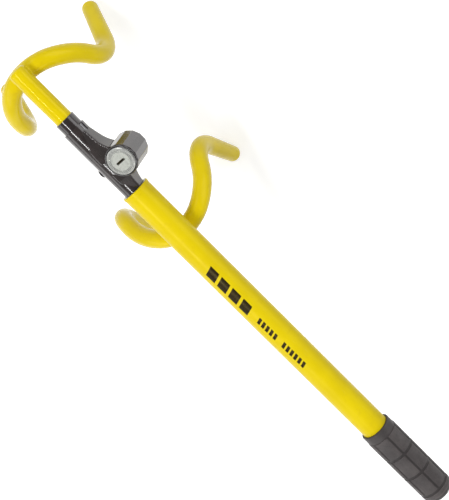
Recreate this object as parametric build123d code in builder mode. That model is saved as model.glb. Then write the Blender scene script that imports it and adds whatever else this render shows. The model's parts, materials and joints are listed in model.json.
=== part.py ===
from build123d import *
from math import cos, radians, sin
import os

# Steering wheel lock with twin hooks, retracted and unlocked.
# Origin: on the sliding rod's axis, at the mouth of the long tube.
# +X runs along the rod to the sliding hook. +Z points to the driver, and the hooks reach down to -Z.
os.makedirs("parts", exist_ok=True)

# ---- fits ----
slip_gap = 0.03
running_gap = 0.05
past = 1.0

# ---- long tube and its grip ----
tube_radius = 12.5
tube_bore_radius = 10.5
tube_length = 405.0
coat_radius = 13.5
mouth_lip_radius = 13.9
mouth_lip_length = 2.5
mouth_lip_round = 0.6
grip_mouth_x = -321.0
grip_end_x = -419.0
grip_radius = 15.4
grip_bore_radius = coat_radius + slip_gap
grip_dome = 9.0
grip_mouth_round = 0.8
grip_band = 9.7
band_height = 0.35
pad_height = 0.9
pad_gap = 2.0
pad_row_gap = 2.8
pad_pitch = 25.6
pad_rows = 3
pad_columns = 6
pad_turn = 20.0
end_plug_flange = 3.0
end_plug_depth = 14.0
end_plug_wall = 2.5

# ---- sliding rod ----
rod_radius = 7.5
rod_coat_radius = 8.45
rod_tail_x = -300.0
rod_end_x = 141.5
rod_coat_start_x = 77.5
rod_coat_end_cap = 1.0
rod_coat_end_round = 3.2
journal_radius = 6.0
journal_start_x = -288.0
ring_groove_radius = 5.0
ring_groove_x = -299.0
ring_thickness = 1.0
ring_split_width = 2.0
groove_pitch = 6.3
groove_count = 41
groove_depth = 1.7
groove_ramp = 1.8
groove_floor = 2.6
groove_steep = 0.2
rod_travel = groove_pitch * (groove_count - 1)

# ---- twin hooks ----
bar_radius = 7.5
bar_skin_radius = 8.8
bar_tip_radius = 6.7
bar_skin_tip_radius = 7.95
tip_coat = 1.5
tip_round_share = 0.6
hook_sweep_radius = 37.0
hook_sweep_angle = 42.0
arm_radius = 68.0
arm_angle = 34.0
hook_slope = 51.0
bight_radius = 40.0
bight_angle = 75.0
hook_tip_length = 52.5
hook_overlap_gap = 0.2
rod_hook_x = 137.0
rod_hook_drop = rod_radius + bar_radius + hook_overlap_gap
tube_hook_x = -60.0
tube_hook_drop = tube_radius + bar_radius + hook_overlap_gap
weld_reach = 12.0
rod_weld_far_reach = 4.0
weld_half_width = 6.0
weld_lip = 0.6

# ---- lock ----
lock_roll = 16.0
body_radius = 11.0
body_start_x = 0.2
collar_radius = 9.6
collar_bore_radius = 8.8
collar_round = 0.5
step_x = 75.0
collar_end_x = 86.0
cover_wall = 1.0
neck_half_height = 8.0
neck_offset = -10.5
neck_length = 18.0
neck_width = 9.0
ramp_round = 1.6
front_ramp = (
    (68.0, 11.0, 11.0, 2.5),
    (57.0, 13.2, 13.9, 3.0),
    (49.0, 15.6, 16.0, 3.3),
    (44.0, 18.6, 17.0, 3.5),
)
rear_ramp = (
    (body_start_x, 11.0, 11.0, 2.5),
    (8.0, 12.4, 14.2, 3.0),
    (15.0, 15.0, 17.0, 3.5),
)
ramp_run_in = 8.0
spigot_length = 36.0
spigot_radius = tube_bore_radius - running_gap
rod_bore_radius = 7.9
bush_outer_radius = 8.9
bush_length = 11.5
front_bush_x = 60.0
wiper_x = 71.9
wiper_length = 1.7
housing_pin_x = -10.0
housing_pin_radius = 1.5
housing_pin_clearance = 0.3

barrel_x = 29.3
barrel_offset = -24.5
barrel_corner_radius = 15.1
barrel_corner_round = 1.2
barrel_sides = 14
barrel_face = 21.3
barrel_rear = -9.0
barrel_rear_round = 1.8
bezel_radius = 14.5
bezel_height = 2.0
bezel_round = 1.3
window_x = 70.4
window_length = 7.6
window_width = 3.8
window_turn = 14.0

cylinder_radius = 12.3
cylinder_flange_radius = 12.8
flange_thickness = 2.6
flange_bevel = 0.7
cylinder_floor = 8.6
chamber_floor = 4.2
dial_mark_count = 12
dial_mark_radius = 10.6
dial_mark_length = 1.9
dial_mark_width = 0.5
dial_mark_depth = 0.35
dial_ring_inner = 9.0
dial_ring_outer = 9.5
keeper_level = 14.0
keeper_length = 3.0
keeper_width = 2.0
keeper_slot_clearance = 0.06

plug_radius = 8.6
tail_radius = 3.0
clip_groove_depth = 0.5
clip_groove_width = 0.95
clip_thickness = 0.8
clip_radius = 9.0
keyway_length = 9.5
keyway_width = 2.2
keyway_floor = 10.0
wafer_count = 5
wafer_pitch = 1.9
wafer_thickness = 1.2
wafer_first = 11.6
wafer_width = 5.0
wafer_length = 14.4
wafer_window_width = 2.6
wafer_window_length = 9.9
wafer_clearance = 0.1
wafer_spring_offset = wafer_width / 2 + 0.85
wafer_spring_pocket = (1.5, 5.4)
wafer_spring_length = 4.6

cam_radius = 5.6
cam_top = 7.4
cam_bottom = 4.8
cam_web = 0.5
cam_throw = 2.0
cam_start = -30.0
cam_pin_radius = 1.5
cam_pin_end = -2.0
cam_pin_clearance = 0.3

bolt_radius = 4.0
bolt_tip = -8.0
bolt_length = 23.0
bolt_tooth_height = 2.2
bolt_tooth_thickness = 2.4
bolt_tooth_width = 7.0
bolt_notch_length = 6.2
bolt_notch_centre = 1.9
bolt_notch_floor = -6.0
bolt_bore_end = -36.6
bolt_bore_start = 10.0
cap_radius = 5.0
cap_floor = rod_bore_radius + 0.3
cap_top = 12.5
cap_round = 1.4

lock_up = Vector(0, sin(radians(lock_roll)), cos(radians(lock_roll)))
lock_side = Vector(0, cos(radians(lock_roll)), -sin(radians(lock_roll)))


def level(height):
    """Plane square to the key cylinder: its x runs along the rod, its y away from the barrel."""
    return Plane(origin=lock_up * height, x_dir=(1, 0, 0), z_dir=lock_up)


def barrel_level(height):
    """The same plane, centred on the key cylinder's axis."""
    centre = lock_up * height + lock_side * barrel_offset + Vector(barrel_x, 0, 0)
    return Plane(origin=centre, x_dir=(1, 0, 0), z_dir=lock_up)


def section(x):
    """Cross-section of the lock at x: its x is the lock's side axis, its y the key's axis."""
    return Plane(origin=(x, 0, 0), x_dir=lock_side, z_dir=(1, 0, 0))


def bolt_plane(distance):
    """Plane square to the bolt, at a distance from the rod's axis, facing away from the barrel."""
    centre = lock_side * distance + Vector(barrel_x, 0, 0)
    return Plane(origin=centre, x_dir=(1, 0, 0), z_dir=lock_side)


def prism(plane, amount, outer, inner=None, mode=Mode.ADD):
    """Round bar or tube standing on a plane."""
    with BuildSketch(plane) as disc:
        Circle(outer)
        if inner:
            Circle(inner, mode=Mode.SUBTRACT)
    extrude(disc.sketch, amount=amount, mode=mode)


def round_bar(x_start, x_end, radius, mode=Mode.ADD):
    """Solid cylinder on the rod's axis, between two places along it."""
    prism(Plane.YZ.offset(x_start), x_end - x_start, radius, mode=mode)


def ring_bar(x_start, x_end, outer, inner, mode=Mode.ADD):
    """Tube on the rod's axis, between two places along it."""
    prism(Plane.YZ.offset(x_start), x_end - x_start, outer, inner, mode)


def bent_bar(apex_x, drop, way, radius, tip_radius, tip_cut, mode=Mode.ADD):
    """Twin hook: one bar, bowed at its middle, whose two ends turn back to way (+1 or -1 along X)."""
    slope = radians(hook_slope)
    outward = Vector(0, -1, 0)
    sweep_way = Vector(-way * cos(slope), 0, -sin(slope))
    arm_plane = Plane(origin=(apex_x, 0, -drop), x_dir=outward, z_dir=outward.cross(sweep_way))
    with BuildLine(arm_plane) as arm:
        bow = JernArc((0, 0), (1, 0), hook_sweep_radius, hook_sweep_angle)
        spread = JernArc(bow @ 1, bow % 1, arm_radius, arm_angle)
    under = Vector(way * sin(slope), 0, -cos(slope))
    bight_plane = Plane(origin=spread @ 1, x_dir=spread % 1, z_dir=(spread % 1).cross(under))
    with BuildLine(bight_plane) as turn:
        bight = JernArc((0, 0), (1, 0), bight_radius, bight_angle)
    path = Wire(arm.edges() + turn.edges())
    tip_way = bight % 1
    tip_plane = Plane(origin=bight @ 1, x_dir=tip_way, z_dir=tip_way.cross(Vector(0, 0, 1)))
    with BuildPart(mode=Mode.PRIVATE) as half:
        with BuildSketch(Plane(origin=(apex_x, 0, -drop), z_dir=outward)):
            Circle(radius)
        sweep(path=path)
        with BuildSketch(tip_plane):
            with BuildLine():
                Polyline(
                    (0, 0),
                    (hook_tip_length - tip_cut, 0),
                    (hook_tip_length - tip_cut, tip_radius),
                    (0, radius),
                    close=True,
                )
            make_face()
        revolve(axis=Axis(bight @ 1, tip_way))
        tip_edges = half.edges().filter_by(GeomType.CIRCLE).sort_by_distance(
            (bight @ 1) + tip_way * hook_tip_length
        )
        fillet(tip_edges[0], tip_radius * tip_round_share)
    other = half.part.mirror(Plane.XZ)
    add(half.part, mode=mode)
    add(other, mode=mode)


def hook_core(apex_x, drop, way, gap=0.0, mode=Mode.ADD):
    """The steel bar of a twin hook, or with a gap and SUBTRACT, the hollow for it."""
    bent_bar(apex_x, drop, way, bar_radius + gap, bar_tip_radius + gap, tip_coat - gap, mode)


def hook_coat(apex_x, drop, way, gap=0.0, mode=Mode.ADD):
    """The outer form of a twin hook's vinyl skin."""
    bent_bar(apex_x, drop, way, bar_skin_radius + gap, bar_skin_tip_radius, 0.0, mode)


def weld(apex_x, drop, over, far_reach):
    """Coated weld metal in the corners between a bar and what it crosses, before both are cut from it."""
    low = -drop + 1.5
    high = -over * 0.8
    lip = -over - weld_lip
    far_x = apex_x + far_reach
    with BuildSketch(Plane.XZ.offset(-weld_half_width)) as fillets:
        with BuildLine():
            Polyline(
                (apex_x - weld_reach, high),
                (apex_x - weld_reach, lip),
                (apex_x - bar_skin_radius, low),
                (apex_x + min(bar_skin_radius, far_reach), low),
                (far_x, lip),
                (far_x, high),
                close=True,
            )
        make_face()
    extrude(fillets.sketch, amount=2 * weld_half_width)


def cross_pins(radius, reach):
    """Two round pins on one line through the tube's wall, one each side of the rod."""
    for way in (1, -1):
        prism(Plane(origin=(housing_pin_x, 0, 0), z_dir=(0, way, 0)), reach, radius)


def barrel_block(shrink):
    """The faceted barrel round the key cylinder, with its rear edge rounded."""
    with BuildPart() as block:
        with BuildSketch(barrel_level(barrel_rear + shrink)) as facets:
            RegularPolygon(barrel_corner_radius - shrink, barrel_sides)
            fillet(facets.vertices(), barrel_corner_round)
        extrude(facets.sketch, amount=barrel_face - barrel_rear - shrink)
        rear_edges = block.edges().group_by(Axis((0, 0, 0), lock_up))[0]
        fillet(rear_edges, barrel_rear_round - shrink / 2)
    return block.part


def lock_form(shrink, barrel):
    """The lock's outer form without its collar: body, barrel and the ramps between them."""
    round_bar(body_start_x, step_x - shrink, body_radius - shrink)
    add(barrel)
    ramp(front_ramp, shrink, ramp_run_in)
    ramp(rear_ramp, shrink, -ramp_run_in)
    with BuildSketch(level(shrink - neck_half_height)) as neck:
        with Locations((barrel_x, neck_offset)):
            Rectangle(neck_length, neck_width)
    extrude(neck.sketch, amount=2 * (neck_half_height - shrink))


def ramp(stations, shrink, run_in):
    """A ramp from the body's side up to the barrel: each station has an x, a width, a height and a lift."""
    sections = []
    for x, width, height, lift in stations:
        with BuildSketch(section(x)) as station:
            with Locations(((shrink - width) / 2, lift)):
                RectangleRounded(width - shrink, height - 2 * shrink, ramp_round)
        sections.append(station.sketch)
    loft(sections)
    extrude(sections[-1], amount=-run_in)


def spring(radius, wire_radius, pitch, height, plane):
    """A helical spring standing on a plane."""
    with BuildLine():
        coil = Helix(pitch=pitch, height=height, radius=radius, center=plane.origin, direction=plane.z_dir)
    with BuildSketch(Plane(origin=coil @ 0, z_dir=coil % 0)) as wire:
        Circle(wire_radius)
    sweep(wire.sketch, path=coil)


# ================= long tube =================

with BuildPart() as housing_pins:
    cross_pins(housing_pin_radius, tube_radius - running_gap)
    cleared = rod_bore_radius + housing_pin_clearance
    round_bar(housing_pin_x - 5, housing_pin_x + 5, cleared, Mode.SUBTRACT)
housing_pins.part.label = "housing_pins"

with BuildPart() as pin_holes:
    cross_pins(housing_pin_radius + slip_gap, tube_radius + past)

with BuildPart() as body_tube:
    ring_bar(-tube_length, 0.0, tube_radius, tube_bore_radius)
    add(pin_holes.part, mode=Mode.SUBTRACT)
body_tube.part.label = "body_tube"

with BuildPart() as tube_coat:
    ring_bar(-tube_length, 0.0, coat_radius, tube_radius + slip_gap)
    ring_bar(-mouth_lip_length, 0.0, mouth_lip_radius, tube_radius + slip_gap)
    mouth_edges = tube_coat.edges().filter_by(GeomType.CIRCLE).group_by(Axis.X)[-1]
    fillet(mouth_edges.sort_by(SortBy.RADIUS)[-1], mouth_lip_round)
    hook_core(tube_hook_x, tube_hook_drop, -1, slip_gap, Mode.SUBTRACT)
tube_coat.part.label = "tube_coat"

with BuildPart() as tube_hook_bar:
    hook_core(tube_hook_x, tube_hook_drop, -1)
tube_hook_bar.part.label = "tube_hook_bar"

with BuildPart() as tube_hook_skin:
    hook_coat(tube_hook_x, tube_hook_drop, -1)
    hook_core(tube_hook_x, tube_hook_drop, -1, slip_gap, Mode.SUBTRACT)
    round_bar(-tube_length, 0.0, coat_radius + slip_gap, Mode.SUBTRACT)
tube_hook_skin.part.label = "tube_hook_skin"

with BuildPart() as tube_hook_weld:
    weld(tube_hook_x, tube_hook_drop, coat_radius, weld_reach)
    round_bar(-tube_length, 0.0, coat_radius + slip_gap, Mode.SUBTRACT)
    hook_coat(tube_hook_x, tube_hook_drop, -1, slip_gap, Mode.SUBTRACT)
tube_hook_weld.part.label = "tube_hook_weld"

with BuildPart() as hand_grip:
    pad_top = grip_radius + pad_height
    pads_start = grip_mouth_x - grip_band
    pads_end = pads_start - pad_pitch * pad_rows + pad_row_gap
    round_bar(grip_end_x, grip_mouth_x, pad_top)
    end_edges = hand_grip.edges().filter_by(GeomType.CIRCLE).sort_by(Axis.X)
    fillet(end_edges[0], grip_dome)
    ring_bar(pads_start, grip_mouth_x + past, pad_top + past, grip_radius + band_height, Mode.SUBTRACT)
    fillet(hand_grip.edges().filter_by(GeomType.CIRCLE).sort_by(Axis.X)[-1], grip_mouth_round)
    for row in range(pad_rows):
        gap_end = pads_start - pad_pitch * (row + 1) + pad_row_gap
        ring_bar(gap_end - pad_row_gap, gap_end, pad_top + past, grip_radius, Mode.SUBTRACT)
    for column in range(pad_columns):
        facing = radians(pad_turn + column * 360 / pad_columns)
        across = Vector(0, -sin(facing), cos(facing))
        with BuildSketch(Plane(origin=across * pad_top, x_dir=(1, 0, 0), z_dir=across)) as groove:
            with Locations(((pads_start + pads_end) / 2, 0)):
                Rectangle(pads_start - pads_end, pad_gap)
        extrude(groove.sketch, amount=-pad_height, mode=Mode.SUBTRACT)
    plug_end = -tube_length - end_plug_flange - 2 * slip_gap
    round_bar(-tube_length - slip_gap, grip_mouth_x, grip_bore_radius, Mode.SUBTRACT)
    round_bar(plug_end, grip_mouth_x, tube_radius + slip_gap, Mode.SUBTRACT)
hand_grip.part.label = "hand_grip"

with BuildPart() as grip_end_plug:
    plug_face = -tube_length - slip_gap
    plug_tail = end_plug_depth - tube_length
    round_bar(plug_face - end_plug_flange, plug_face, tube_radius)
    round_bar(plug_face, plug_tail, tube_bore_radius - slip_gap)
    round_bar(-tube_length + 2, plug_tail, tube_bore_radius - end_plug_wall, Mode.SUBTRACT)
grip_end_plug.part.label = "grip_end_plug"

# ================= sliding rod =================

with BuildPart() as sliding_rod:
    with BuildSketch(Plane.XY) as rod_half:
        with BuildLine():
            outline = [
                (rod_tail_x, 0),
                (rod_tail_x, journal_radius),
                (ring_groove_x, journal_radius),
                (ring_groove_x, ring_groove_radius),
                (ring_groove_x + ring_thickness, ring_groove_radius),
                (ring_groove_x + ring_thickness, journal_radius),
                (journal_start_x, journal_radius),
                (journal_start_x, rod_radius),
            ]
            for groove in range(groove_count):
                centre = barrel_x - rod_travel + groove * groove_pitch
                outline.append((centre - groove_floor / 2 - groove_ramp, rod_radius))
                outline.append((centre - groove_floor / 2, rod_radius - groove_depth))
                outline.append((centre + groove_floor / 2, rod_radius - groove_depth))
                outline.append((centre + groove_floor / 2 + groove_steep, rod_radius))
            outline.append((rod_end_x, rod_radius))
            outline.append((rod_end_x, 0))
            Polyline(*outline, close=True)
        make_face()
    revolve(axis=Axis.X)
sliding_rod.part.label = "sliding_rod"

with BuildPart() as rod_coat:
    coat_end = rod_end_x + rod_coat_end_cap + rod_coat_end_round / 2
    round_bar(rod_coat_start_x, coat_end, rod_coat_radius)
    fillet(rod_coat.edges().filter_by(GeomType.CIRCLE).sort_by(Axis.X)[-1], rod_coat_end_round)
    round_bar(rod_coat_start_x, rod_end_x + slip_gap, rod_radius + slip_gap, Mode.SUBTRACT)
    hook_core(rod_hook_x, rod_hook_drop, 1, slip_gap, Mode.SUBTRACT)
rod_coat.part.label = "rod_coat"

with BuildPart() as rod_hook_bar:
    hook_core(rod_hook_x, rod_hook_drop, 1)
rod_hook_bar.part.label = "rod_hook_bar"

with BuildPart() as rod_hook_skin:
    hook_coat(rod_hook_x, rod_hook_drop, 1)
    hook_core(rod_hook_x, rod_hook_drop, 1, slip_gap, Mode.SUBTRACT)
    round_bar(rod_coat_start_x, coat_end + slip_gap, rod_coat_radius + slip_gap, Mode.SUBTRACT)
rod_hook_skin.part.label = "rod_hook_skin"

with BuildPart() as rod_hook_weld:
    weld(rod_hook_x, rod_hook_drop, rod_coat_radius, rod_weld_far_reach)
    round_bar(rod_coat_start_x, coat_end + slip_gap, rod_coat_radius + slip_gap, Mode.SUBTRACT)
    hook_coat(rod_hook_x, rod_hook_drop, 1, slip_gap, Mode.SUBTRACT)
rod_hook_weld.part.label = "rod_hook_weld"

with BuildPart() as rod_stop_ring:
    ring_x = ring_groove_x + slip_gap
    ring_bar(ring_x, ring_groove_x + ring_thickness - slip_gap, rod_radius, ring_groove_radius + slip_gap)
    with BuildSketch(Plane.YZ.offset(ring_groove_x)) as ring_split:
        with Locations((0, rod_radius)):
            Rectangle(ring_split_width, 2 * rod_radius - 1)
    extrude(ring_split.sketch, amount=ring_thickness, mode=Mode.SUBTRACT)
rod_stop_ring.part.label = "rod_stop_ring"

with BuildPart() as rod_tail_bush:
    bush_start = ring_groove_x + ring_thickness + 0.2
    bush_outer = tube_bore_radius - 2 * running_gap
    ring_bar(bush_start, journal_start_x - 0.2, bush_outer, journal_radius + running_gap)
    round_edges = rod_tail_bush.edges().filter_by(GeomType.CIRCLE)
    chamfer(round_edges.filter_by(lambda edge: edge.radius > journal_radius + past), 0.5)
rod_tail_bush.part.label = "rod_tail_bush"

# ================= lock =================

outer_barrel = barrel_block(0.0)
inner_barrel = barrel_block(cover_wall)
housing_barrel = barrel_block(cover_wall + slip_gap)

with BuildPart() as outer_form:
    lock_form(0.0, outer_barrel)

with BuildPart() as inner_form:
    lock_form(cover_wall, inner_barrel)

with BuildPart() as keeper_slot:
    with BuildSketch(barrel_level(keeper_level)) as slot_face:
        with Locations((cylinder_radius, 0)):
            Rectangle(keeper_length + 0.2, keeper_width + keeper_slot_clearance)
    extrude(slot_face.sketch, amount=keeper_width + keeper_slot_clearance)

with BuildPart() as lock_housing:
    lock_form(cover_wall + slip_gap, housing_barrel)
    round_bar(-spigot_length, body_start_x, spigot_radius)
    round_bar(-spigot_length, step_x, rod_bore_radius, Mode.SUBTRACT)
    round_bar(front_bush_x, step_x, bush_outer_radius + slip_gap, Mode.SUBTRACT)
    rear_bush_end = -spigot_length + bush_length
    round_bar(-spigot_length, rear_bush_end, bush_outer_radius + slip_gap, Mode.SUBTRACT)
    prism(barrel_level(chamber_floor), barrel_face, cylinder_radius + slip_gap, mode=Mode.SUBTRACT)
    bore_length = bolt_bore_start - bolt_bore_end
    prism(bolt_plane(bolt_bore_end), bore_length, bolt_radius + running_gap, mode=Mode.SUBTRACT)
    pin_pocket_radius = cam_throw + cam_pin_radius + 2 * cam_pin_clearance
    pin_pocket_floor = cam_pin_end - cam_pin_clearance
    pocket_depth = chamber_floor - pin_pocket_floor
    prism(barrel_level(pin_pocket_floor), pocket_depth, pin_pocket_radius, mode=Mode.SUBTRACT)
    prism(bolt_plane(rod_radius), cap_top, cap_radius + slip_gap, mode=Mode.SUBTRACT)
    add(keeper_slot.part, mode=Mode.SUBTRACT)
    add(pin_holes.part, mode=Mode.SUBTRACT)
lock_housing.part.label = "lock_housing"

window_face = lock_up * sin(radians(window_turn)) - lock_side * cos(radians(window_turn))


def cover_half(label, kept):
    """One of the two moulded shells that meet on the rod's axis, square to the key cylinder."""
    with BuildPart() as cover:
        add(outer_form.part)
        round_bar(step_x - 2, collar_end_x, collar_radius)
        fillet(cover.edges().filter_by(GeomType.CIRCLE).group_by(Axis.X)[-1], collar_round)
        add(inner_form.part, mode=Mode.SUBTRACT)
        round_bar(step_x - 4, collar_end_x + past, collar_bore_radius, Mode.SUBTRACT)
        prism(bolt_plane(rod_radius), cap_top, cap_radius + slip_gap, mode=Mode.SUBTRACT)
        with BuildSketch(Plane(origin=(window_x, 0, 0), x_dir=(1, 0, 0), z_dir=window_face)) as window:
            Rectangle(window_length, window_width)
        extrude(window.sketch, amount=2 * body_radius, mode=Mode.SUBTRACT)
        split(bisect_by=level(0.0), keep=kept)
    cover.part.label = label
    return cover


front_cover = cover_half("front_cover", Keep.TOP)
rear_cover = cover_half("rear_cover", Keep.BOTTOM)

with BuildPart() as barrel_bezel:
    prism(barrel_level(barrel_face), bezel_height, bezel_radius, cylinder_flange_radius + slip_gap)
    top_edges = barrel_bezel.edges().group_by(Axis((0, 0, 0), lock_up))[-1]
    fillet(top_edges.sort_by(SortBy.RADIUS)[-1], bezel_round)
barrel_bezel.part.label = "barrel_bezel"

with BuildPart() as cylinder_shell:
    face_level = barrel_face + flange_thickness
    prism(barrel_level(cylinder_floor), barrel_face - cylinder_floor, cylinder_radius)
    prism(barrel_level(barrel_face), flange_thickness, cylinder_flange_radius)
    face_edges = cylinder_shell.edges().group_by(Axis((0, 0, 0), lock_up))[-1]
    chamfer(face_edges, flange_bevel)
    prism(barrel_level(cylinder_floor), face_level, plug_radius + running_gap, mode=Mode.SUBTRACT)
    with BuildSketch(barrel_level(face_level)) as dial_marks:
        with PolarLocations(dial_mark_radius, dial_mark_count, start_angle=15):
            Rectangle(dial_mark_length, dial_mark_width)
    extrude(dial_marks.sketch, amount=-dial_mark_depth, mode=Mode.SUBTRACT)
    prism(barrel_level(face_level), -dial_mark_depth, dial_ring_outer, dial_ring_inner, Mode.SUBTRACT)
    add(keeper_slot.part, mode=Mode.SUBTRACT)
cylinder_shell.part.label = "cylinder_shell"

with BuildPart() as cylinder_keeper:
    with BuildSketch(barrel_level(keeper_level + slip_gap)) as keeper:
        with Locations((cylinder_radius, 0)):
            Rectangle(keeper_length, keeper_width)
    extrude(keeper.sketch, amount=keeper_width)
cylinder_keeper.part.label = "cylinder_keeper"

with BuildPart() as key_plug:
    prism(barrel_level(cylinder_floor), face_level - cylinder_floor, plug_radius)
    prism(barrel_level(cam_bottom), cylinder_floor - cam_bottom, tail_radius)
    clip_room = barrel_level(cam_top + 0.15)
    prism(clip_room, clip_groove_width, tail_radius + past, tail_radius - clip_groove_depth, Mode.SUBTRACT)
    with BuildSketch(barrel_level(keyway_floor)) as keyway:
        Rectangle(keyway_width, keyway_length)
    extrude(keyway.sketch, amount=face_level, mode=Mode.SUBTRACT)
    for wafer in range(wafer_count):
        slot_level = wafer_first + wafer * wafer_pitch - wafer_clearance
        with BuildSketch(barrel_level(slot_level)) as wafer_slot:
            Rectangle(wafer_width + 2 * wafer_clearance, wafer_length + 2 * wafer_clearance)
            with Locations((wafer_spring_offset, 0)):
                Rectangle(*wafer_spring_pocket)
        extrude(wafer_slot.sketch, amount=wafer_thickness + 2 * wafer_clearance, mode=Mode.SUBTRACT)
key_plug.part.label = "key_plug"

with BuildPart() as wafer_tumblers:
    for wafer in range(wafer_count):
        with BuildSketch(barrel_level(wafer_first + wafer * wafer_pitch)) as plate:
            Rectangle(wafer_width, wafer_length)
            Rectangle(wafer_window_width, wafer_window_length, mode=Mode.SUBTRACT)
        extrude(plate.sketch, amount=wafer_thickness)
wafer_tumblers.part.label = "wafer_tumblers"

with BuildPart() as wafer_springs:
    for wafer in range(wafer_count):
        middle = wafer_first + wafer * wafer_pitch + wafer_thickness / 2
        start = barrel_level(middle).origin + Vector(wafer_spring_offset, 0, 0)
        place = start - lock_side * (wafer_spring_length / 2 + 0.1)
        spring(0.4, 0.12, 0.8, wafer_spring_length, Plane(origin=place, x_dir=(1, 0, 0), z_dir=lock_side))
wafer_springs.part.label = "wafer_springs"

with BuildPart() as drive_cam:
    cam_floor = cam_bottom - cam_web
    prism(barrel_level(cam_floor), cam_top - cam_floor, cam_radius)
    prism(barrel_level(cam_bottom - slip_gap), cam_top, tail_radius + slip_gap, mode=Mode.SUBTRACT)
    with BuildSketch(barrel_level(cam_pin_end)) as cam_pin:
        with PolarLocations(cam_throw, 1, start_angle=cam_start):
            Circle(cam_pin_radius)
    extrude(cam_pin.sketch, amount=cam_floor - cam_pin_end)
drive_cam.part.label = "drive_cam"

with BuildPart() as plug_clip:
    clip_hole = tail_radius - clip_groove_depth + slip_gap
    with BuildSketch(barrel_level(cam_top + 0.2)) as clip:
        Circle(clip_radius)
        Circle(clip_hole, mode=Mode.SUBTRACT)
        with Locations((clip_radius, 0)):
            Rectangle(2 * clip_radius, tail_radius, mode=Mode.SUBTRACT)
    extrude(clip.sketch, amount=clip_thickness)
plug_clip.part.label = "plug_clip"

with BuildPart() as locking_bolt:
    shoulder = bolt_tip - bolt_tooth_height
    tail = bolt_tip - bolt_length
    prism(bolt_plane(tail), shoulder - tail, bolt_radius)
    with BuildSketch(bolt_plane(shoulder)) as tooth:
        Rectangle(bolt_tooth_thickness, bolt_tooth_width)
    extrude(tooth.sketch, amount=bolt_tooth_height)
    with BuildSketch(barrel_level(bolt_notch_floor)) as cam_notch:
        with Locations((bolt_notch_centre, cam_throw * sin(radians(cam_start)))):
            Rectangle(bolt_notch_length, 2 * (cam_pin_radius + cam_pin_clearance))
    extrude(cam_notch.sketch, amount=-2 * bolt_notch_floor, mode=Mode.SUBTRACT)
locking_bolt.part.label = "locking_bolt"

with BuildPart() as bolt_spring:
    spring_room = tail - bolt_bore_end - 1.0
    spring(2.6, 0.4, 1.3, spring_room, bolt_plane(bolt_bore_end + 0.5))
bolt_spring.part.label = "bolt_spring"

with BuildPart() as bolt_cap:
    prism(bolt_plane(cap_floor), cap_top - cap_floor, cap_radius)
    fillet(bolt_cap.edges().group_by(Axis((0, 0, 0), lock_side))[-1], cap_round)
bolt_cap.part.label = "bolt_cap"

with BuildPart() as front_bush:
    front_bush_end = front_bush_x + bush_length
    ring_bar(front_bush_x + slip_gap, front_bush_end, bush_outer_radius, rod_radius + running_gap)
front_bush.part.label = "front_bush"

with BuildPart() as rear_bush:
    ring_bar(-spigot_length, rear_bush_end - slip_gap, bush_outer_radius, rod_radius + running_gap)
rear_bush.part.label = "rear_bush"

with BuildPart() as rod_wiper:
    ring_bar(wiper_x, wiper_x + wiper_length, bush_outer_radius, rod_radius + running_gap)
rod_wiper.part.label = "rod_wiper"

for piece in (
    body_tube,
    tube_coat,
    tube_hook_bar,
    tube_hook_skin,
    tube_hook_weld,
    hand_grip,
    grip_end_plug,
    sliding_rod,
    rod_coat,
    rod_hook_bar,
    rod_hook_skin,
    rod_hook_weld,
    rod_stop_ring,
    rod_tail_bush,
    lock_housing,
    housing_pins,
    front_cover,
    rear_cover,
    barrel_bezel,
    cylinder_shell,
    cylinder_keeper,
    key_plug,
    wafer_tumblers,
    wafer_springs,
    drive_cam,
    plug_clip,
    locking_bolt,
    bolt_spring,
    bolt_cap,
    front_bush,
    rear_bush,
    rod_wiper,
):
    export_step(piece.part, f"parts/{piece.part.label}.step")
    print(piece.part.label, round(piece.part.volume, 1), len(piece.part.solids()))
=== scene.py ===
import json
from math import cos, pi, radians, sin

import bpy
import numpy as np
from mathutils import Matrix, Vector


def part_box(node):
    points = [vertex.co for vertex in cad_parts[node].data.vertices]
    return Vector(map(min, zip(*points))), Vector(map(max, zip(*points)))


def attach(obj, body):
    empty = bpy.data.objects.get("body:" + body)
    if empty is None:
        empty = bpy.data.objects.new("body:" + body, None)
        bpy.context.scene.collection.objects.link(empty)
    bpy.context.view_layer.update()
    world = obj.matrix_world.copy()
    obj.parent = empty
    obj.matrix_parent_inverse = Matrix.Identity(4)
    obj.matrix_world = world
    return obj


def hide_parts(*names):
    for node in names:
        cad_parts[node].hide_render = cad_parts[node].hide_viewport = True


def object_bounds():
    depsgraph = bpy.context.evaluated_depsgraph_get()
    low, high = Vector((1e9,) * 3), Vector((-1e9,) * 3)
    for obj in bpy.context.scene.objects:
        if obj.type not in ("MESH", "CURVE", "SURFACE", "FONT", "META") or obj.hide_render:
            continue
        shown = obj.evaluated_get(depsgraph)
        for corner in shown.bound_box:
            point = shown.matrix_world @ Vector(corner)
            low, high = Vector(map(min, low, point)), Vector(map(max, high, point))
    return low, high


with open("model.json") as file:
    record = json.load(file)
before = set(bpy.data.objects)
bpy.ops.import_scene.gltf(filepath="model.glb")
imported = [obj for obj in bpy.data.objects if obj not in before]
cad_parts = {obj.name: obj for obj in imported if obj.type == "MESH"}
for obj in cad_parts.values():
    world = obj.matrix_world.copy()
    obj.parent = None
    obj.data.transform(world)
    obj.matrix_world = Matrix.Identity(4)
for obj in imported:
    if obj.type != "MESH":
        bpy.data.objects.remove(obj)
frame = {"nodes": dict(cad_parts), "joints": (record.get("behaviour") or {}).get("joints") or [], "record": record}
cad_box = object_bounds()
nodes = frame["nodes"]
record = frame["record"]

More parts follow.
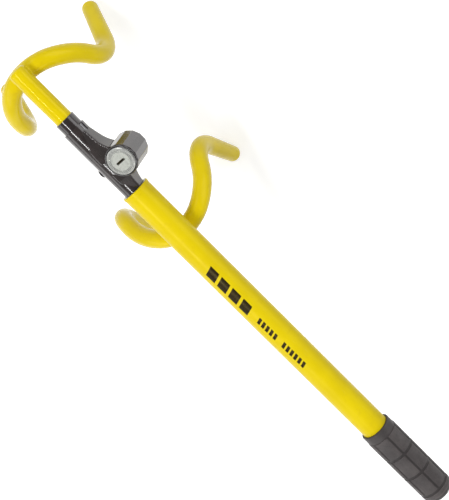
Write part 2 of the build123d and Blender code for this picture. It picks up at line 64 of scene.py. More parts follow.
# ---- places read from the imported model, in metres ----
grip_low, grip_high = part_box("hand_grip")
end_plug_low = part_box("grip_end_plug")[0]
tube_low, tube_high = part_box("body_tube")
rod_coat_low, rod_coat_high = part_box("rod_coat")
rod_bar_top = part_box("rod_hook_bar")[1].z
tube_bar_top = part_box("tube_hook_bar")[1].z
plug_turn = [joint for joint in frame["joints"] if joint["name"] == "plug_turn"][0]
key_axis = Vector(plug_turn["axis"]).normalized()
key_centre = Vector(plug_turn["pos_m"])
mm = 0.001
tube_axis = [mount for mount in record["mounts"] if mount["name"] == "tube_axis"][0]
coat_radius = tube_axis["dims"]["r_mm"] * mm


# =====================================================================
# node materials
# =====================================================================

class Material:
    """One node material, with short calls for the nodes it is made of."""

    def __init__(self, name, colour, roughness, metallic=0.0, coat=0.0, coat_roughness=0.05, ior=1.5):
        self.data = bpy.data.materials.new(name)
        self.data.use_nodes = True
        self.tree = self.data.node_tree
        self.shader = self.tree.nodes["Principled BSDF"]
        self.shader.inputs["Base Color"].default_value = (*colour, 1.0)
        self.shader.inputs["Roughness"].default_value = roughness
        self.shader.inputs["Metallic"].default_value = metallic
        self.shader.inputs["IOR"].default_value = ior
        self.shader.inputs["Coat Weight"].default_value = coat
        self.shader.inputs["Coat Roughness"].default_value = coat_roughness
        self.place = self.node("ShaderNodeTexCoord").outputs["Object"]

    def node(self, kind, **settings):
        made = self.tree.nodes.new(kind)
        for key, value in settings.items():
            setattr(made, key, value)
        return made

    def link(self, source, target):
        self.tree.links.new(source, target)

    def put(self, socket, value):
        """A value or another node's output goes into a socket."""
        if isinstance(value, bpy.types.NodeSocket):
            self.link(value, socket)
        else:
            socket.default_value = value

    def stretched(self, scale, turn=(0, 0, 0)):
        """Object places, turned and scaled."""
        mapping = self.node("ShaderNodeMapping")
        mapping.inputs["Rotation"].default_value = turn
        mapping.inputs["Scale"].default_value = scale
        self.link(self.place, mapping.inputs["Vector"])
        return mapping.outputs["Vector"]

    def noise(self, scale, detail=3.0, rough=0.55, vector=None, distortion=0.0):
        made = self.node("ShaderNodeTexNoise")
        made.inputs["Scale"].default_value = scale
        made.inputs["Detail"].default_value = detail
        made.inputs["Roughness"].default_value = rough
        made.inputs["Distortion"].default_value = distortion
        self.link(vector if vector is not None else self.place, made.inputs["Vector"])
        return made.outputs["Fac"]

    def specks(self, scale, size, vector=None):
        """1 at small round dots, 0 between them."""
        cells = self.node("ShaderNodeTexVoronoi", feature="F1")
        cells.inputs["Scale"].default_value = scale
        self.link(vector if vector is not None else self.place, cells.inputs["Vector"])
        return self.remap(cells.outputs["Distance"], size, size * 0.55, 0.0, 1.0)

    def remap(self, value, low, high, to_low, to_high, smooth=True):
        made = self.node("ShaderNodeMapRange", interpolation_type="SMOOTHSTEP" if smooth else "LINEAR")
        if low > high:
            low, high, to_low, to_high = high, low, to_high, to_low
        self.put(made.inputs["Value"], value)
        made.inputs["From Min"].default_value = low
        made.inputs["From Max"].default_value = high
        made.inputs["To Min"].default_value = to_low
        made.inputs["To Max"].default_value = to_high
        return made.outputs["Result"]

    def math(self, operation, a, b=0.0, c=0.0):
        made = self.node("ShaderNodeMath", operation=operation)
        for socket, value in zip(made.inputs, (a, b, c)):
            self.put(socket, value)
        return made.outputs["Value"]

    def mix(self, share, a, b):
        """Colours a and b, mixed."""
        made = self.node("ShaderNodeMix", data_type="RGBA")
        self.put(made.inputs[0], share)
        for socket, value in ((made.inputs[6], a), (made.inputs[7], b)):
            self.put(socket, value if isinstance(value, bpy.types.NodeSocket) else (*value, 1.0))
        return made.outputs[2]

    def axes(self):
        split = self.node("ShaderNodeSeparateXYZ")
        self.link(self.place, split.inputs["Vector"])
        return split.outputs["X"], split.outputs["Y"], split.outputs["Z"]

    def colour(self, value):
        self.put(self.shader.inputs["Base Color"], value)

    def roughness(self, value):
        self.put(self.shader.inputs["Roughness"], value)

    def bump(self, height, distance, strength=1.0, after=None):
        made = self.node("ShaderNodeBump")
        made.inputs["Strength"].default_value = strength
        made.inputs["Distance"].default_value = distance
        self.link(height, made.inputs["Height"])
        if after is not None:
            self.link(after, made.inputs["Normal"])
        return made.outputs["Normal"]

    def normal(self, value):
        self.link(value, self.shader.inputs["Normal"])


def vinyl(name, printed=False):
    """Glossy dipped vinyl: slow colour drift, darker blotches, orange peel and faint scuffs."""
    made = Material(name, (0.78, 0.62, 0.012), 0.24, ior=1.37)
    drift = made.remap(made.noise(28.0, 2.0), 0.35, 0.65, 0.0, 1.0)
    body = made.mix(drift, (0.86, 0.665, 0.004), (0.81, 0.62, 0.004))
    blotch = made.remap(made.noise(140.0, 4.0, 0.6), 0.52, 0.78, 0.0, 0.35)
    body = made.mix(blotch, body, (0.70, 0.50, 0.012))
    scuff_lines = made.noise(1.0, 5.0, 0.62, made.stretched((90, 900, 900)))
    scuff_patch = made.remap(made.noise(45.0, 2.0), 0.52, 0.66, 0.0, 1.0)
    scuffs = made.math("MULTIPLY", made.remap(scuff_lines, 0.60, 0.72, 0.0, 1.0), scuff_patch)
    body = made.mix(made.math("MULTIPLY", scuffs, 0.22), body, (0.86, 0.74, 0.16))
    if printed:
        body = made.mix(tube_print(made), body, (0.012, 0.006, 0.005))
    made.colour(body)
    made.shader.inputs["Specular Tint"].default_value = (1.0, 0.84, 0.32, 1.0)
    low, high = (0.30, 0.40) if printed else (0.08, 0.16)
    gloss = made.remap(made.noise(60.0, 3.0), 0.3, 0.7, low, high)
    made.roughness(made.math("MULTIPLY_ADD", scuffs, 0.22, gloss))
    peel = made.bump(made.noise(420.0, 2.0, 0.5), 0.00012, 0.04)
    grain = made.bump(made.noise(2600.0, 2.0, 0.5), 0.00002, 0.35, after=peel)
    made.normal(made.bump(scuffs, 0.00002, 0.6, after=grain))
    return made.data


print_facing = radians(-10.0)
print_slant = -0.35
print_edge = 0.12 * mm
tall_bars = dict(start=-0.095, end=-0.152, pitch=14.25 * mm, width=11.2 * mm, half_height=5.1 * mm)
short_bars = dict(start=-0.161, end=-0.187, pitch=5.2 * mm, width=3.5 * mm, half_height=3.0 * mm)
last_bars = dict(start=-0.1935, end=-0.225, pitch=5.25 * mm, width=3.5 * mm, half_height=3.0 * mm)


def tube_print(made):
    """1 where black ink is: a plain row of tall slanted bars, then two rows of short ones."""
    along, across, up = made.axes()
    angle = made.math("ARCTAN2", made.math("MULTIPLY", across, -1.0), up)
    height = made.math("MULTIPLY", made.math("SUBTRACT", angle, print_facing), coat_radius)
    slanted = made.math("MULTIPLY_ADD", height, print_slant, along)

    def bars(start, end, pitch, width, half_height):
        place = made.math("FRACT", made.math("DIVIDE", made.math("SUBTRACT", slanted, end), pitch))
        apart = made.math("MULTIPLY", made.math("ABSOLUTE", made.math("SUBTRACT", place, 0.5)), pitch)
        inked = made.remap(apart, 0.5 * width, 0.5 * width - print_edge, 0.0, 1.0)
        after_end = made.remap(slanted, end, end + print_edge, 0.0, 1.0)
        before_start = made.remap(slanted, start, start - print_edge, 0.0, 1.0)
        tall = made.remap(made.math("ABSOLUTE", height), half_height, half_height - print_edge, 0.0, 1.0)
        reach = made.math("MULTIPLY", after_end, before_start)
        return made.math("MULTIPLY", made.math("MULTIPLY", inked, reach), tall)

    ink = bars(**tall_bars)
    ink = made.math("MAXIMUM", ink, bars(**short_bars))
    ink = made.math("MAXIMUM", ink, bars(**last_bars))
    worn = made.remap(made.noise(1500.0, 4.0, 0.65), 0.30, 0.36, 0.55, 1.0)
    return made.math("MULTIPLY", ink, worn)


def glossy_black(name, tint=(0.020, 0.0145, 0.0135)):
    """Moulded glossy plastic with hair scratches, dust and slightly uneven gloss."""
    made = Material(name, tint, 0.2, coat=0.6, coat_roughness=0.05, ior=1.55)
    drift = made.remap(made.noise(90.0, 3.0), 0.35, 0.65, 0.0, 1.0)
    lighter = tuple(value * 1.7 for value in tint)
    dust = made.specks(900.0, 0.10)
    body = made.mix(drift, tint, lighter)
    body = made.mix(made.math("MULTIPLY", dust, 0.35), body, (0.20, 0.18, 0.16))
    made.colour(body)
    hairs = made.remap(made.noise(1.0, 4.0, 0.6, made.stretched((160, 1500, 700))), 0.60, 0.70, 0.0, 1.0)
    gloss = made.remap(made.noise(70.0, 3.0), 0.3, 0.7, 0.12, 0.24)
    made.roughness(made.math("MULTIPLY_ADD", hairs, 0.15, gloss))
    flow = made.bump(made.noise(160.0, 2.0), 0.00008, 0.07)
    made.normal(made.bump(hairs, 0.00001, 0.5, after=flow))
    return made.data


def grip_rubber(name):
    """Satin moulded rubber: fine spark-eroded grain, paler dust on it and darker rubbed patches, with painted
    shade in the grooves between the pads and a painted highlight along the pads' edges.
    """
    made = Material(name, (0.062, 0.052, 0.052), 0.6, ior=1.5)
    dusty = made.remap(made.noise(55.0, 5.0, 0.62), 0.36, 0.68, 0.0, 1.0)
    body = made.mix(dusty, (0.048, 0.041, 0.042), (0.082, 0.071, 0.070))
    fine = made.remap(made.noise(1800.0, 3.0, 0.6), 0.35, 0.7, 0.0, 0.55)
    body = made.mix(fine, body, (0.100, 0.086, 0.083))
    along, across, up = made.axes()
    square = made.math("ADD", made.math("MULTIPLY", across, across), made.math("MULTIPLY", up, up))
    radius = made.math("SQRT", square)
    # painted shade: the low grooves between the pads are darkened, standing in for the shadow at the pad step
    low = made.remap(radius, grip_high.z - 0.75 * mm, grip_high.z - 0.35 * mm, 1.0, 0.0)
    # painted highlight: a pale ring along each pad's rounded shoulder, standing in for light catching the pad
    # edges
    edge = made.remap(made.math("ABSOLUTE", made.math("SUBTRACT", radius, grip_high.z - 0.18 * mm)),
                      0.02 * mm, 0.16 * mm, 0.45, 0.0)
    body = made.mix(edge, body, (0.135, 0.112, 0.105))
    body = made.mix(made.math("MULTIPLY", low, 0.62), body, (0.018, 0.014, 0.014))
    made.colour(body)
    made.roughness(made.remap(made.noise(120.0, 4.0), 0.3, 0.7, 0.46, 0.68))
    grain = made.bump(made.noise(2400.0, 3.0, 0.6), 0.00006, 0.5)
    made.normal(made.bump(made.noise(260.0, 2.0), 0.00012, 0.3, after=grain))
    return made.data


def turned_metal(name, colour, roughness, lines=5200.0, axis=(1, 0, 0)):
    """Metal with fine turning lines round an axis, and a little stain."""
    made = Material(name, colour, roughness, metallic=1.0)
    turn = Vector(axis).rotation_difference(Vector((1, 0, 0))).to_euler()
    vector = made.stretched((lines, 40, 40), turn=tuple(turn))
    lay = made.noise(1.0, 3.0, 0.6, vector)
    dark = tuple(value * 0.72 for value in colour)
    stained = made.remap(made.noise(75.0, 4.0, 0.6), 0.45, 0.75, 0.0, 0.35)
    body = made.mix(stained, colour, dark)
    made.colour(made.mix(made.remap(lay, 0.3, 0.7, 0.0, 0.18), body, dark))
    made.roughness(made.remap(lay, 0.3, 0.7, max(roughness - 0.08, 0.05), roughness + 0.12))
    made.normal(made.bump(lay, 0.00002, 0.5))
    return made.data


def dial_chrome(name, colour, roughness):
    """Bright plated face, turned in fine rings round the key's axis."""
    made = Material(name, colour, roughness, metallic=1.0)
    centre = made.node("ShaderNodeVectorMath", operation="SUBTRACT")
    made.link(made.place, centre.inputs[0])
    centre.inputs[1].default_value = key_centre
    across = made.node("ShaderNodeVectorMath", operation="CROSS_PRODUCT")
    made.link(centre.outputs["Vector"], across.inputs[0])
    across.inputs[1].default_value = key_axis
    length = made.node("ShaderNodeVectorMath", operation="LENGTH")
    made.link(across.outputs["Vector"], length.inputs[0])
    radius = length.outputs["Value"]
    joined = made.node("ShaderNodeCombineXYZ")
    made.link(made.math("MULTIPLY", radius, 3800.0), joined.inputs["X"])
    rings = made.noise(1.0, 3.0, 0.6, joined.outputs["Vector"])
    dull = tuple(value * 0.66 for value in colour)
    stain = made.remap(made.noise(420.0, 4.0, 0.6), 0.45, 0.72, 0.0, 0.5)
    body = made.mix(made.remap(rings, 0.3, 0.7, 0.0, 0.35), colour, dull)
    made.colour(made.mix(stain, body, tuple(value * 0.8 for value in dull)))
    made.roughness(made.remap(rings, 0.3, 0.7, roughness - 0.06, roughness + 0.14))
    made.normal(made.bump(rings, 0.00002, 0.35))
    return made.data


def cast_metal(name, colour):
    """Die-cast zinc: fine pitting and flow marks."""
    made = Material(name, colour, 0.5, metallic=0.85)
    flow = made.remap(made.noise(110.0, 5.0, 0.62, distortion=1.2), 0.35, 0.7, 0.0, 1.0)
    dark = tuple(value * 0.6 for value in colour)
    made.colour(made.mix(flow, colour, dark))
    made.roughness(made.remap(flow, 0.0, 1.0, 0.38, 0.62))
    pits = made.bump(made.noise(1500.0, 3.0, 0.65), 0.00008, 0.5)
    made.normal(pits)
    return made.data


def sintered_bronze(name):
    made = Material(name, (0.40, 0.24, 0.085), 0.42, metallic=0.9)
    oily = made.remap(made.noise(160.0, 4.0), 0.35, 0.7, 0.0, 1.0)
    made.colour(made.mix(oily, (0.46, 0.28, 0.10), (0.22, 0.13, 0.05)))
    made.roughness(made.remap(oily, 0.0, 1.0, 0.48, 0.28))
    made.normal(made.bump(made.noise(2600.0, 2.0), 0.00004, 0.5))
    return made.data


def natural_nylon(name):
    made = Material(name, (0.62, 0.60, 0.52), 0.42, ior=1.53)
    cloud = made.remap(made.noise(120.0, 3.0), 0.35, 0.7, 0.0, 1.0)
    made.colour(made.mix(cloud, (0.66, 0.64, 0.56), (0.55, 0.52, 0.43)))
    made.roughness(made.remap(made.noise(400.0, 3.0), 0.3, 0.7, 0.34, 0.5))
    made.normal(made.bump(made.noise(900.0, 3.0), 0.00005, 0.4))
    return made.data


yellow = vinyl("yellow_vinyl")
yellow_printed = vinyl("yellow_vinyl_tube", printed=True)
black = glossy_black("black_cover")
bezel_black = glossy_black("black_bezel", (0.016, 0.014, 0.014))
rubber = grip_rubber("grip_rubber")
steel = turned_metal("bare_steel", (0.42, 0.42, 0.43), 0.34, lines=2600.0)
rod_steel = turned_metal("rod_steel", (0.56, 0.56, 0.57), 0.22)
spring_steel = turned_metal("spring_steel", (0.30, 0.30, 0.32), 0.3, lines=1500.0)
brass = turned_metal("brass_wafer", (0.60, 0.42, 0.12), 0.3, lines=1800.0, axis=key_axis)
chrome = dial_chrome("chrome_face", (0.74, 0.75, 0.71), 0.24)
plug_chrome = dial_chrome("plug_chrome", (0.66, 0.68, 0.62), 0.32)
zinc = cast_metal("zinc_casting", (0.40, 0.40, 0.41))
bronze = sintered_bronze("bush_bronze")
nylon = natural_nylon("bush_nylon")

finish = {
    "yellow_vinyl": yellow,
    "bare_steel": steel,
    "rod_steel": rod_steel,
    "spring_steel": spring_steel,
    "grip_rubber": rubber,
    "black_plastic": black,
    "bezel_black": bezel_black,
    "zinc_casting": zinc,
    "chrome_face": chrome,
    "plug_chrome": plug_chrome,
    "bush_bronze": bronze,
    "bush_nylon": nylon,
    "brass_wafer": brass,
}
for entry in record["subparts"]:
    piece = nodes[entry["node"]]
    piece.data.materials.clear()
    piece.data.materials.append(finish[entry["material_slot"]])
nodes["tube_coat"].data.materials[0] = yellow_printed


# =====================================================================
# the rubber grip
# =====================================================================

def add_piece(name, points, faces, material, body, hidden):
    """A smooth-shaded mesh piece on a body, in place of the CAD nodes it stands for."""
    mesh = bpy.data.meshes.new(name)
    mesh.from_pydata([tuple(point) for point in points], [], faces)
    mesh.validate()
    mesh.shade_smooth()
    mesh.materials.append(material)
    piece = bpy.data.objects.new(name, mesh)
    bpy.context.scene.collection.objects.link(piece)
    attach(piece, body)
    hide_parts(*hidden)
    return piece


def steps_with(edges, low, high, fine, reach, coarse):
    """Places from low to high, close together near the edges and further apart between them."""
    places = [low]
    while places[-1] < high - 1e-9:
        here = places[-1]
        ahead = [edge for edge in edges if edge + reach > here]
        near = any(abs(edge - here) < reach for edge in edges)
        step = fine if near else coarse
        if not near and ahead:
            step = min(step, max(min(ahead) - reach - here, fine))
        places.append(min(here + step, high))
    return places


grip_top = grip_high.z
grip_mouth = grip_high.x
grip_end = grip_low.x
pad_rise = 0.9 * mm
band_drop = 0.55 * mm
band_width = 9.7 * mm
pad_pitch = 25.6 * mm
row_gap = 2.8 * mm
groove_width = 2.0 * mm
pad_rows = 3
pad_columns = 6
pad_turn = radians(20.0)
pad_corner = 1.1 * mm
pad_edge = 0.40 * mm
dome = 9.0 * mm
mouth_round = 0.8 * mm
pads_start = grip_mouth - band_width
column_pitch = 2.0 * pi / pad_columns


def rounded_step(inside):
    """0 outside a pad's edge, 1 well inside it, with a round shoulder between."""
    share = min(max(inside / pad_edge, 0.0), 1.0)
    return (1.0 - (1.0 - share) ** 2) ** 0.5


def pad_inside(half_length, half_width, along, across):
    """How far a place is inside a pad's rounded outline."""
    x = abs(along) - half_length + pad_corner
    y = abs(across) - half_width + pad_corner
    outside = (max(x, 0.0) ** 2 + max(y, 0.0) ** 2) ** 0.5
    return pad_corner - outside - min(max(x, y), 0.0)


def grip_radius_at(x, angle):
    if x > pads_start:
        edge = min((x - pads_start) / (0.5 * mm), 1.0)
        radius = grip_top - band_drop - (1.0 - edge) * (pad_rise - band_drop)
        fall = mouth_round - (grip_mouth - x)
        if fall > 0.0:
            radius -= mouth_round - (mouth_round ** 2 - fall ** 2) ** 0.5
        return radius
    row = int((pads_start - x) / pad_pitch)
    if row >= pad_rows:
        radius = grip_top - pad_rise * (1.0 - rounded_step(pads_start - pad_rows * pad_pitch - x))
        fall = dome - (x - grip_end)
        if fall > 0.0:
            radius -= dome - max(dome ** 2 - fall ** 2, 0.0) ** 0.5
        return radius
    half_length = 0.5 * (pad_pitch - row_gap)
    middle_x = pads_start - row * pad_pitch - half_length
    turn_in = (angle - pad_turn + 0.5 * column_pitch) % column_pitch - 0.5 * column_pitch
    half_width = 0.5 * (column_pitch * grip_top - groove_width)
    across = half_width + 0.5 * groove_width - abs(turn_in) * grip_top
    inside = pad_inside(half_length, half_width, x - middle_x, across)
    return grip_top - pad_rise + pad_rise * rounded_step(inside)


row_edges = []
for row in range(pad_rows):
    row_edges += [pads_start - row * pad_pitch, pads_start - (row + 1) * pad_pitch + row_gap]
row_edges += [pads_start - pad_rows * pad_pitch, grip_mouth, grip_end + dome]
grip_places = steps_with(sorted(row_edges), grip_end + 1.2 * mm, grip_mouth, 0.14 * mm, 1.3 * mm, 1.6 * mm)
dome_places = [grip_end + dome * (1.0 - cos(radians(turn))) for turn in range(3, 31, 3)]
grip_places = sorted([x for x in grip_places if x > dome_places[-1] + 0.3 * mm] + dome_places, reverse=True)
groove_arcs = steps_with([0.0], -0.5 * column_pitch * grip_top, 0.5 * column_pitch * grip_top,
                         0.2 * mm, 2.4 * mm, 1.1 * mm)[:-1]
grip_angles = [
    pad_turn + column * column_pitch + arc / grip_top
    for column in range(pad_columns)
    for arc in groove_arcs
]
ring_size = len(grip_angles)
bore_mouth = coat_radius + 0.05 * mm
bore_deep = tube_high.z + 0.05 * mm
bore_rings = [
    (grip_mouth, bore_mouth),
    (tube_low.x - 0.1 * mm, bore_mouth),
    (tube_low.x - 0.1 * mm, bore_deep),
    (end_plug_low.x - 0.1 * mm, bore_deep),
]
grip_points = []
grip_faces = []


def around(x, radii):
    for angle, radius in zip(grip_angles, radii):
        grip_points.append((x, -sin(angle) * radius, cos(angle) * radius))


def bridge(first, second):
    for index in range(ring_size):
        after = (index + 1) % ring_size
        grip_faces.append((first + index, second + index, second + after, first + after))


for x, radius in reversed(bore_rings):
    around(x, [radius] * ring_size)
for x in grip_places:
    around(x, [grip_radius_at(x, angle) for angle in grip_angles])
for ring in range(len(grip_points) // ring_size - 1):
    bridge(ring * ring_size, (ring + 1) * ring_size)
deep_centre = len(grip_points)
grip_points.append((bore_rings[-1][0], 0.0, 0.0))
end_centre = len(grip_points)
grip_points.append((grip_end, 0.0, 0.0))
last_ring = (len(grip_points) // ring_size - 1) * ring_size
for index in range(ring_size):
    after = (index + 1) % ring_size
    grip_faces.append((deep_centre, index, after))
    grip_faces.append((end_centre, last_ring + after, last_ring + index))
add_piece(
    "grip_sleeve", grip_points, grip_faces, rubber, "frame", ["hand_grip"]
)


# =====================================================================
# the dipped twin hooks, whose vinyl runs smoothly into what they are welded to
# =====================================================================

hook_slope = radians(51.0)
bar_radius = 7.5 * mm
skin_radius = 8.8 * mm
skin_taper = 0.85 * mm
tip_round = 4.77 * mm
tip_length = 52.5 * mm
tip_steps = 12
sweep_bend = (37.0 * mm, 42.0, 30)
arm_bend = (68.0 * mm, 34.0, 34)
bight_bend = (40.0 * mm, 75.0, 44)
rod_end_round = 3.2 * mm
seat_half_length = 14.0 * mm
seat_top = -10.6 * mm
seat_depth = 0.15 * mm
blend_reach = 5.0 * mm
blank_voxel = 0.9 * mm
rod_apex_x = 0.137
tube_apex_x = -0.060


def hook_side(apex_x, drop, way, side):
    """Half of a twin hook's centreline, from its apex to its tip, in metres."""
    outward = Vector((-way * cos(hook_slope), 0.0, -sin(hook_slope)))
    inward = Vector((way * sin(hook_slope), 0.0, -cos(hook_slope)))
    point = Vector((apex_x, 0.0, -drop))
    heading = Vector((0.0, float(side), 0.0))
    line = [point.copy()]
    bends = ((outward, sweep_bend), (outward, arm_bend), (inward, bight_bend))
    for towards, (radius, degrees, count) in bends:
        square = (towards - heading * towards.dot(heading)).normalized()
        centre = point + square * radius
        for step in range(1, count + 1):
            turned = radians(degrees * step / count)
            line.append(centre + (heading * sin(turned) - square * cos(turned)) * radius)
        turned = radians(degrees)
        point = line[-1].copy()
        heading = heading * cos(turned) + square * sin(turned)
    bend_count = len(line)
    radii = [skin_radius] * bend_count
    for step in range(1, tip_steps + 1):
        line.append(point + heading * tip_length * step / tip_steps)
        radii.append(skin_radius - skin_taper * step / tip_steps)
    return line, radii, heading


def skin_distance(points, side):
    """How far points are outside one half of a hook's vinyl."""
    line, radii, heading = side
    starts = np.array(line[:-1])
    spans = np.array(line[1:]) - starts
    lengths = (spans ** 2).sum(axis=1)
    radii = np.array(radii)
    last = np.array(line[-1])
    heading = np.array(heading)
    gaps = []
    for block in np.array_split(points, max(len(points) // 4000, 1)):
        apart = block[:, None, :] - starts[None]
        share = np.clip((apart * spans).sum(axis=2) / lengths, 0.0, 1.0)
        away = np.sqrt(((apart - share[..., None] * spans) ** 2).sum(axis=2))
        skin = away - (radii[:-1] + share * (radii[1:] - radii[:-1]))
        gap = skin.min(axis=1)
        ahead = (block - last) @ heading
        beside = np.sqrt(np.maximum(((block - last) ** 2).sum(axis=1) - ahead ** 2, 0.0))
        out = np.stack((beside - (radii[-1] - tip_round), ahead + tip_round), axis=1)
        rounded = np.sqrt((np.maximum(out, 0.0) ** 2).sum(axis=1)) + np.minimum(out.max(axis=1), 0.0)
        at_tip = (ahead > -tip_round) & (ahead < 30.0 * mm) & (beside < 30.0 * mm)
        gaps.append(np.where(at_tip, rounded - tip_round, gap))
    return np.concatenate(gaps)


def round_join(first, second, reach):
    """The nearer of two distances, blended where they are close together."""
    share = np.clip(0.5 + 0.5 * (second - first) / reach, 0.0, 1.0)
    return second * (1.0 - share) + first * share - reach * share * (1.0 - share)


def rod_distance(points):
    """How far points are outside the rod's coat, with its rounded end."""
    radius = rod_coat_high.z
    length = 0.5 * (rod_coat_high.x - rod_coat_low.x)
    middle_x = 0.5 * (rod_coat_high.x + rod_coat_low.x)
    beside = np.sqrt(points[:, 1] ** 2 + points[:, 2] ** 2)
    ahead = points[:, 0] - middle_x
    flat = -ahead - length
    out = np.stack((beside - radius + rod_end_round, ahead - length + rod_end_round), axis=1)
    rounded = np.sqrt((np.maximum(out, 0.0) ** 2).sum(axis=1)) + np.minimum(out.max(axis=1), 0.0)
    return np.maximum(rounded - rod_end_round, flat)


def saddle_distance(points):
    """How far points are outside the weld's seat, a slice off the tube's underside."""
    beside = np.sqrt(points[:, 1] ** 2 + points[:, 2] ** 2)
    seat = np.maximum(beside - coat_radius + seat_depth, points[:, 2] - seat_top)
    return np.maximum(seat, np.abs(points[:, 0] - tube_apex_x) - seat_half_length)


def tube_mesh(line, radii, sides=28):
    """Points and faces of a closed round bar along a line."""
    points = []
    faces = []
    for index, centre in enumerate(line):
        before = line[max(index - 1, 0)]
        after = line[min(index + 1, len(line) - 1)]
        heading = (after - before).normalized()
        first = heading.orthogonal() if index == 0 else (first - heading * first.dot(heading))
        first = first.normalized()
        second = heading.cross(first)
        for side in range(sides):
            angle = 2.0 * pi * side / sides
            points.append(centre + (first * cos(angle) + second * sin(angle)) * radii[index])
    for ring in range(len(line) - 1):
        for side in range(sides):
            after = (side + 1) % sides
            low, high = ring * sides, (ring + 1) * sides
            faces.append((low + side, low + after, high + after, high + side))
    faces.append(tuple(reversed(range(sides))))
    faces.append(tuple(range((len(line) - 1) * sides, len(line) * sides)))
    return points, faces


def merged(blanks, voxel):
    """The outer form of several closed meshes, as points, faces and edges."""
    mesh = bpy.data.meshes.new("blank")
    points = []
    faces = []
    for blank_points, blank_faces in blanks:
        shift = len(points)
        points += [tuple(point) for point in blank_points]
        faces += [tuple(index + shift for index in face) for face in blank_faces]
    mesh.from_pydata(points, [], faces)
    blank = bpy.data.objects.new("blank", mesh)
    bpy.context.scene.collection.objects.link(blank)
    remesh = blank.modifiers.new("remesh", "REMESH")
    remesh.mode = "VOXEL"
    remesh.voxel_size = voxel
    seen = blank.evaluated_get(bpy.context.evaluated_depsgraph_get())
    done = bpy.data.meshes.new_from_object(seen)
    places = np.zeros(len(done.vertices) * 3)
    done.vertices.foreach_get("co", places)
    edges = np.zeros(len(done.edges) * 2, int)
    done.edges.foreach_get("vertices", edges)
    done_faces = [tuple(face.vertices) for face in done.polygons]
    bpy.data.objects.remove(blank)
    bpy.data.meshes.remove(mesh)
    bpy.data.meshes.remove(done)
    return places.reshape(-1, 3), done_faces, edges.reshape(-1, 2)


def settled(points, edges, distance):
    """The points moved onto the surface where distance is 0, and evened out along it."""
    nudge = 0.05 * mm
    counts = np.bincount(edges.ravel(), minlength=len(points))[:, None]
    for turn in range(4):
        gap = distance(points)
        slope = np.stack(
            [(distance(points + nudge * np.eye(3)[axis]) - gap) / nudge for axis in range(3)], axis=1
        )
        steep = np.maximum((slope ** 2).sum(axis=1, keepdims=True), 0.25)
        points = points - np.clip(gap, -mm, mm)[:, None] * slope / steep
        if turn < 2:
            total = np.zeros_like(points)
            for axis in range(3):
                total[:, axis] += np.bincount(edges[:, 0], points[edges[:, 1], axis], len(points))
                total[:, axis] += np.bincount(edges[:, 1], points[edges[:, 0], axis], len(points))
            points = 0.4 * points + 0.6 * total / counts
    return points


def dipped_hook(name, apex_x, bar_top, way, joined, joined_blank, ceiling, body, hidden):
    """A twin hook's vinyl and what it runs into, as one smooth skin."""
    drop = bar_radius - bar_top
    sides = [hook_side(apex_x, drop, way, side) for side in (-1, 1)]
    blanks = [tube_mesh(line, radii) for line, radii, heading in sides] + [joined_blank]

    def distance(points):
        folded = points * (1.0, 0.0, 1.0) + np.abs(points) * (0.0, 1.0, 0.0)
        skin = round_join(skin_distance(folded, sides[1]), joined(points), blend_reach)
        return np.maximum(skin, points[:, 2] - ceiling)

    points, faces, edges = merged(blanks, blank_voxel)
    points = settled(points, edges, distance)
    return add_piece(name, points, faces, yellow, body, hidden)


rod_blank = tube_mesh(
    [Vector((rod_coat_low.x, 0.0, 0.0)), Vector((rod_coat_high.x, 0.0, 0.0))], [rod_coat_high.z] * 2
)
seat_line = [Vector((tube_apex_x + end * seat_half_length, 0.0, -12.2 * mm)) for end in (-1, 1)]
seat_blank = tube_mesh(seat_line, [1.6 * mm] * 2)
dipped_hook(
    "rod_dip", rod_apex_x, rod_bar_top, 1, rod_distance, rod_blank, rod_coat_high.z, "rod",
    ["rod_hook_skin", "rod_hook_weld", "rod_coat"],
)
dipped_hook(
    "tube_hook_dip", tube_apex_x, tube_bar_top, -1, saddle_distance, seat_blank, seat_top, "frame",
    ["tube_hook_skin", "tube_hook_weld"],
)


# =====================================================================
# studio
# =====================================================================

floor_z = cad_box[0].z - 0.0002
bpy.ops.mesh.primitive_plane_add(size=8.0, location=(0.0, 0.0, floor_z))
floor = bpy.context.object
floor.name = "studio_floor"
paper = Material("pale_paper", (0.90, 0.90, 0.90), 0.9)
paper_tone = paper.remap(paper.noise(6.0, 3.0), 0.3, 0.7, 0.0, 1.0)
paper.colour(paper.mix(paper_tone, (0.905, 0.905, 0.905), (0.885, 0.885, 0.887)))
paper.shader.inputs["Emission Color"].default_value = (1.0, 1.0, 1.0, 1.0)
paper.shader.inputs["Emission Strength"].default_value = 0.45
floor.data.materials.append(paper.data)
floor.visible_diffuse = False


middle = (-0.12, 0.0, 0.0)


def soft_light(name, place, size, power):
    """A rectangular lamp aimed at the middle of the lock."""
    lamp = bpy.data.lights.new(name, "AREA")
    lamp.shape = "RECTANGLE"
    lamp.size, lamp.size_y = size
    lamp.energy = power
    holder = bpy.data.objects.new(name, lamp)
    holder.location = place
    holder.rotation_euler = (Vector(middle) - Vector(place)).to_track_quat("-Z", "Y").to_euler()
    bpy.context.scene.collection.objects.link(holder)


soft_light("key_light", (0.05, 0.62, 1.60), (2.0, 0.075), 18.0)
soft_light("side_light", (0.2, -1.5, 0.75), (1.8, 0.8), 7.5)
soft_light("fill_light", (-0.2, 1.6, 0.55), (1.8, 0.6), 4.0)
soft_light("end_light", (1.5, -0.1, 0.9), (0.9, 0.6), 3.2)
soft_light("far_light", (-1.7, 0.1, 0.9), (0.9, 0.6), 3.2)

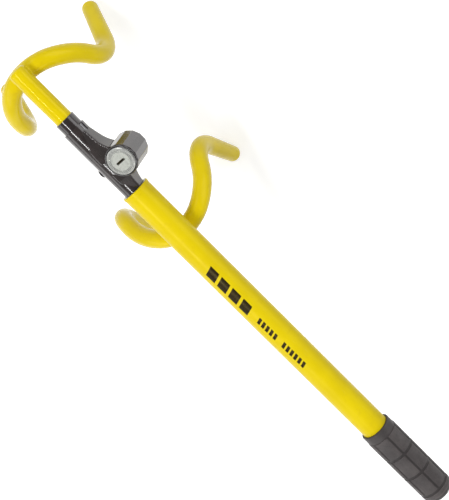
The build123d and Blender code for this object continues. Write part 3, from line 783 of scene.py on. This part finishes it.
# the room: palest at the horizon, darker overhead and below
world = bpy.data.worlds.new("studio_world")
world.use_nodes = True
room = world.node_tree
room_way = room.nodes.new("ShaderNodeTexCoord").outputs["Generated"]
room_split = room.nodes.new("ShaderNodeSeparateXYZ")
room.links.new(room_way, room_split.inputs["Vector"])
room_fade = room.nodes.new("ShaderNodeMapRange")
room_fade.interpolation_type = "SMOOTHSTEP"
room_fade.inputs["From Min"].default_value = 0.25
room_fade.inputs["From Max"].default_value = 0.80
room_fade.inputs["To Min"].default_value = 0.75
room_fade.inputs["To Max"].default_value = 0.20
room.links.new(room_split.outputs["Z"], room_fade.inputs["Value"])
room_low = room.nodes.new("ShaderNodeMapRange")
room_low.inputs["From Min"].default_value = -0.25
room_low.inputs["From Max"].default_value = 0.10
room_low.inputs["To Min"].default_value = 0.25
room_low.inputs["To Max"].default_value = 1.0
room.links.new(room_split.outputs["Z"], room_low.inputs["Value"])
room_level = room.nodes.new("ShaderNodeMath")
room_level.operation = "MULTIPLY"
room.links.new(room_fade.outputs["Result"], room_level.inputs[0])
room.links.new(room_low.outputs["Result"], room_level.inputs[1])
room.links.new(room_level.outputs["Value"], room.nodes["Background"].inputs["Strength"])
room.nodes["Background"].inputs["Color"].default_value = (1.0, 1.0, 1.0, 1.0)
bpy.context.scene.world = world
bpy.context.scene.view_settings.view_transform = "Standard"
bpy.context.scene.view_settings.look = "None"

# the camera looks down on the lock from the -Y side, with the grip to the lower right
camera_place = Vector((0.1279, -0.2668, 0.9294))
camera_right = Vector((-0.6896, -0.7236, -0.0277)).normalized()
camera_back = Vector((0.2261, -0.2515, 0.9411)).normalized()
camera_up = camera_back.cross(camera_right)
camera_data = bpy.data.cameras.new("camera")
camera_data.sensor_width = 36.0
camera_data.lens = 79.27
camera_data.clip_start = 0.01
camera = bpy.data.objects.new("camera", camera_data)
turn = Matrix((camera_right, camera_up, camera_back)).transposed().to_4x4()
camera.matrix_world = Matrix.Translation(camera_place) @ turn
bpy.context.scene.collection.objects.link(camera)
bpy.context.scene.camera = camera

bpy.context.view_layer.update()
